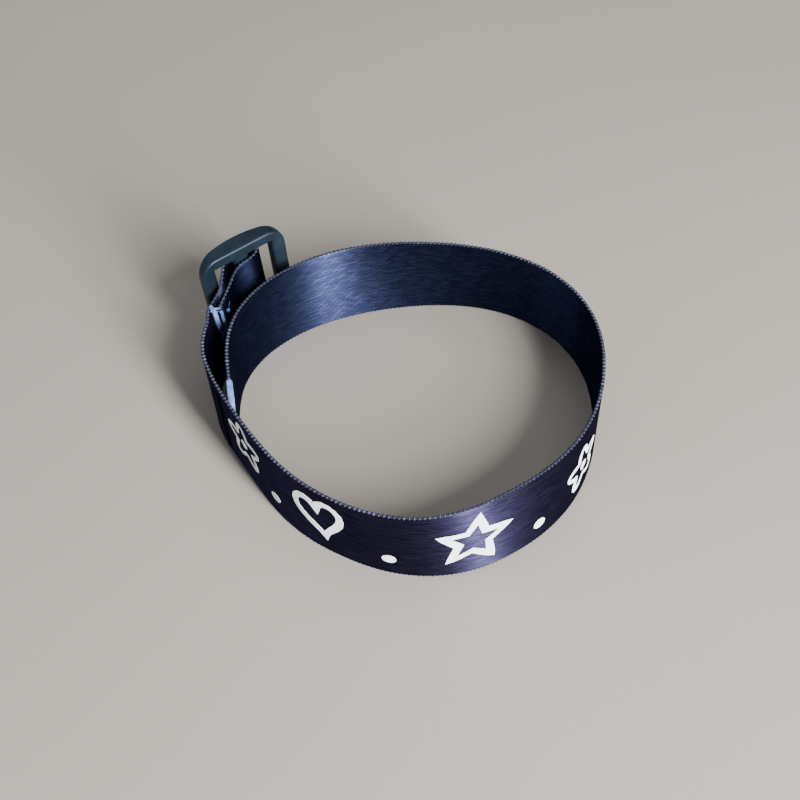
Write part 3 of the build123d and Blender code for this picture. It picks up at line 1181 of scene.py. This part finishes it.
# The ink's two faces from the middle line: share of the thickness, and the lift of each
INK_FACE = -0.44
INK_LIFTS = (-0.035 * MM, 0.06 * MM)


def turns(count):
    return [2 * math.pi * k / count for k in range(count)]


def ring_of(radius, count, stretch=1.0):
    return [(radius * math.cos(angle), radius * stretch * math.sin(angle)) for angle in turns(count)]


def motif_strokes(kind):
    """The closed lines of a motif about one unit high, each with its share of the stroke's width."""
    if kind == "star":
        tips = [(math.pi / 2 + math.pi * k / 5, 0.52 if k % 2 == 0 else 0.235) for k in range(10)]
        return [([(radius * math.cos(angle), radius * math.sin(angle)) for angle, radius in tips], 1.1)]
    if kind == "heart":
        turn = turns(30)
        lobes = ((13, 1), (-5, 2), (-2, 3), (-1, 4))
        high = [sum(size * math.cos(waves * t) for size, waves in lobes) for t in turn]
        heart = [(0.0265 * 16 * math.sin(t) ** 3, 0.034 * (y + 2.5)) for t, y in zip(turn, high)]
        return [(heart, 1.1)]
    turn = turns(60)
    reach = [0.36 + 0.11 * math.cos(5 * t) for t in turn]
    petals = [(r * math.sin(t), r * math.cos(t)) for t, r in zip(turn, reach)]
    return [(petals, 0.8), (ring_of(0.05, 10), 0.8)]


def unit(vector):
    return vector / np.linalg.norm(vector)


def stroke_strip(path, width, phase):
    """A flat brush line along a closed path on the strip, as points and faces."""
    path = [np.array(point) for point in path]
    spaced = []
    for before, after in zip(path, path[1:] + path[:1]):
        count = max(1, round(np.linalg.norm(after - before) / BRUSH_STEP))
        spaced += [before + (after - before) * k / count for k in range(count)]
    total = len(spaced)
    points, faces = [], []
    for k, point in enumerate(spaced):
        following = (k + 1) % total
        ahead, back = unit(spaced[following] - point), unit(point - spaced[k - 1])
        direction = unit(ahead + back)
        side = np.array([-direction[1], direction[0]])
        cosine = max(LEAST_COSINE, abs(float(direction @ ahead)))
        waver = 1 + BRUSH_WAVER * math.sin(BRUSH_WAVES * k / total * math.pi + phase)
        brush = width / 2 * waver / cosine
        points += [point + side * brush, point - side * brush]
        faces.append((2 * k, 2 * following, 2 * following + 1, 2 * k + 1))
    return points, faces


def dot_shape(distance, height, radius):
    rings = [
        [(distance + x, height + y) for x, y in ring_of(size, DOT_CORNERS, DOT_FLATNESS)]
        for size in (radius, radius * 0.5)
    ]
    faces = [
        (k, (k + 1) % DOT_CORNERS, DOT_CORNERS + (k + 1) % DOT_CORNERS, DOT_CORNERS + k)
        for k in range(DOT_CORNERS)
    ]
    faces.append(tuple(DOT_CORNERS + k for k in range(DOT_CORNERS)))
    return rings[0] + rings[1], faces


def ink_piece(name, shapes, ink):
    """Thin closed ink bodies laid on the ribbon's outer face, from flat shapes on the strip."""
    face = INK_FACE * settings().ribbon.thickness
    points, faces, strip = [], [], []
    for flat_points, flat_faces in shapes:
        base, count = len(points), len(flat_points)
        for lift in INK_LIFTS:
            points += [strip_point(distance, height, face + lift) for distance, height in flat_points]
            strip += flat_points
        for corners in flat_faces:
            faces.append(tuple(base + c for c in corners))
            faces.append(tuple(base + count + c for c in reversed(corners)))
        edges = [pair for corners in flat_faces for pair in zip(corners, corners[1:] + corners[:1])]
        rim = [(a, b) for a, b in edges if (b, a) not in edges]
        faces += [(base + a, base + count + a, base + count + b, base + b) for a, b in rim]
    item = mesh_object(name, points, faces, smooth=False)
    strip_coordinates(item, strip)
    item.data.materials.append(ink)
    ensure_outward(item)
    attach(item, "root")


class WRISTBAND_OT_print(Operator):
    """Lay the printed motifs and dots on the ribbon's outer face"""

    bl_idname = "wristband.print"
    bl_label = "Print"

    def execute(self, context):
        sizes = settings().print
        start = rows()[0][tack_row("join_tack")]
        ink = ink_material()
        for number, motif in enumerate(MOTIFS, 1):
            cosine, sine = math.cos(math.radians(motif.turn)), math.sin(math.radians(motif.turn))
            shapes = []
            for path, weight in motif_strokes(motif.kind):
                turned = [
                    (
                        start + motif.distance + motif.size * (x * cosine - y * sine),
                        motif.height + motif.size * (x * sine + y * cosine),
                    )
                    for x, y in path
                ]
                phase = motif.distance * 900
                shapes.append(stroke_strip(turned, sizes.stroke * weight, phase))
            ink_piece(f"print_{motif.kind}_{number}", shapes, ink)
        dots = [dot_shape(start + distance, height, sizes.dot / 2) for distance, height in DOTS]
        ink_piece("print_dots", dots, ink)
        return {"FINISHED"}


# The stage

Light = namedtuple("Light", "name place width height share colour")

# Area lights: place, width and height in metres, share of the key light's strength, and colour
LIGHTS = [
    Light("key_light", (0.27, -0.35, 0.26), 0.09, 0.42, 1.0, (1.0, 0.99, 0.97)),
    Light("fill_light", (-0.42, -0.10, 0.24), 0.40, 0.40, 0.05, (0.93, 0.96, 1.0)),
    Light("top_light", (0.0, 0.12, 0.60), 0.60, 0.60, 0.14, (1.0, 1.0, 1.0)),
]
LIT_PLACE = (0, 0, 0.008)
SKY_COLOUR = (0.95, 0.97, 1.0, 1)
SKY_STRENGTH = 0.06
FLOOR_REACH = 2
# The camera: its focal length and sensor in millimetres, the nearest and farthest that it sees
LENS = 49.5
SENSOR = 36
NEAREST, FARTHEST = 0.005, 10
CAMERA_PLACE = (-0.28 * MM, -99.27 * MM, 133.9 * MM)
CAMERA_TARGET = (-0.28 * MM, 5.33 * MM, 0)


def aimed(name, data, place, target):
    """A light or camera at a place, turned towards another."""
    item = new_object(name, data)
    item.location = place
    item.rotation_euler = (Vector(target) - Vector(place)).to_track_quat("-Z", "Y").to_euler()
    return item


class WRISTBAND_OT_stage(Operator):
    """Set up the floor, the lights and the camera"""

    bl_idname = "wristband.stage"
    bl_label = "Stage"

    def execute(self, context):
        corners = [(x * FLOOR_REACH, y * FLOOR_REACH, 0) for x, y in ((-1, -1), (1, -1), (1, 1), (-1, 1))]
        floor = mesh_object("floor", corners, [(0, 1, 2, 3)], smooth=False)
        floor.data.materials.append(floor_material())
        for light in LIGHTS:
            lamp = bpy.data.lights.new(light.name, "AREA")
            lamp.shape = "RECTANGLE"
            lamp.size = light.width
            lamp.size_y = light.height
            lamp.energy = settings().stage.key_power * light.share
            lamp.color = light.colour
            aimed(light.name, lamp, light.place, LIT_PLACE)
        world = bpy.data.worlds.new("studio")
        world.use_nodes = True
        sky = world.node_tree.nodes["Background"]
        sky.inputs[0].default_value = SKY_COLOUR
        sky.inputs[1].default_value = SKY_STRENGTH
        context.scene.world = world
        camera = aimed("camera", bpy.data.cameras.new("camera"), CAMERA_PLACE, CAMERA_TARGET)
        camera.data.lens = LENS
        camera.data.sensor_width = SENSOR
        camera.data.clip_start = NEAREST
        camera.data.clip_end = FARTHEST
        context.scene.camera = camera
        return {"FINISHED"}


# The add-on

PIECES = [
    WRISTBAND_OT_ribbon,
    WRISTBAND_OT_selvage,
    WRISTBAND_OT_tacks,
    WRISTBAND_OT_threads,
    WRISTBAND_OT_slider,
    WRISTBAND_OT_print,
    WRISTBAND_OT_stage,
]


class WRISTBAND_PT_panel(Panel):
    """Lists the steps that dress the wristband and their settings"""

    bl_idname = "WRISTBAND_PT_panel"
    bl_label = "Wristband"
    bl_space_type = "VIEW_3D"
    bl_region_type = "UI"
    bl_category = "Wristband"

    def draw(self, context):
        for group in ("ribbon", "stitches", "print", "stage"):
            box = self.layout.box()
            values = getattr(settings(), group)
            for name in values.__annotations__:
                box.prop(values, name)
        for piece in PIECES:
            self.layout.operator(piece.bl_idname)


CLASSES = [
    RibbonSettings,
    StitchSettings,
    PrintSettings,
    StageSettings,
    WristbandSettings,
    *PIECES,
    WRISTBAND_PT_panel,
]


def register():
    for item in CLASSES:
        bpy.utils.register_class(item)
    bpy.types.Scene.wristband = PointerProperty(
        name="Wristband", description="Sizes and colours of the wristband", type=WristbandSettings
    )


def unregister():
    del bpy.types.Scene.wristband
    for item in reversed(CLASSES):
        bpy.utils.unregister_class(item)


def declare_cloth():
    """Works out the ribbon's length along its rows and its flat width, and does nothing with them."""
    way = rows()[0]
    width = 2 * (half_width() + settings().ribbon.selvage)


def main():
    register()
    for piece in PIECES:
        group, name = piece.bl_idname.split(".")
        getattr(getattr(bpy.ops, group), name)()
    declare_cloth()


if __name__ == "__main__":
    main()
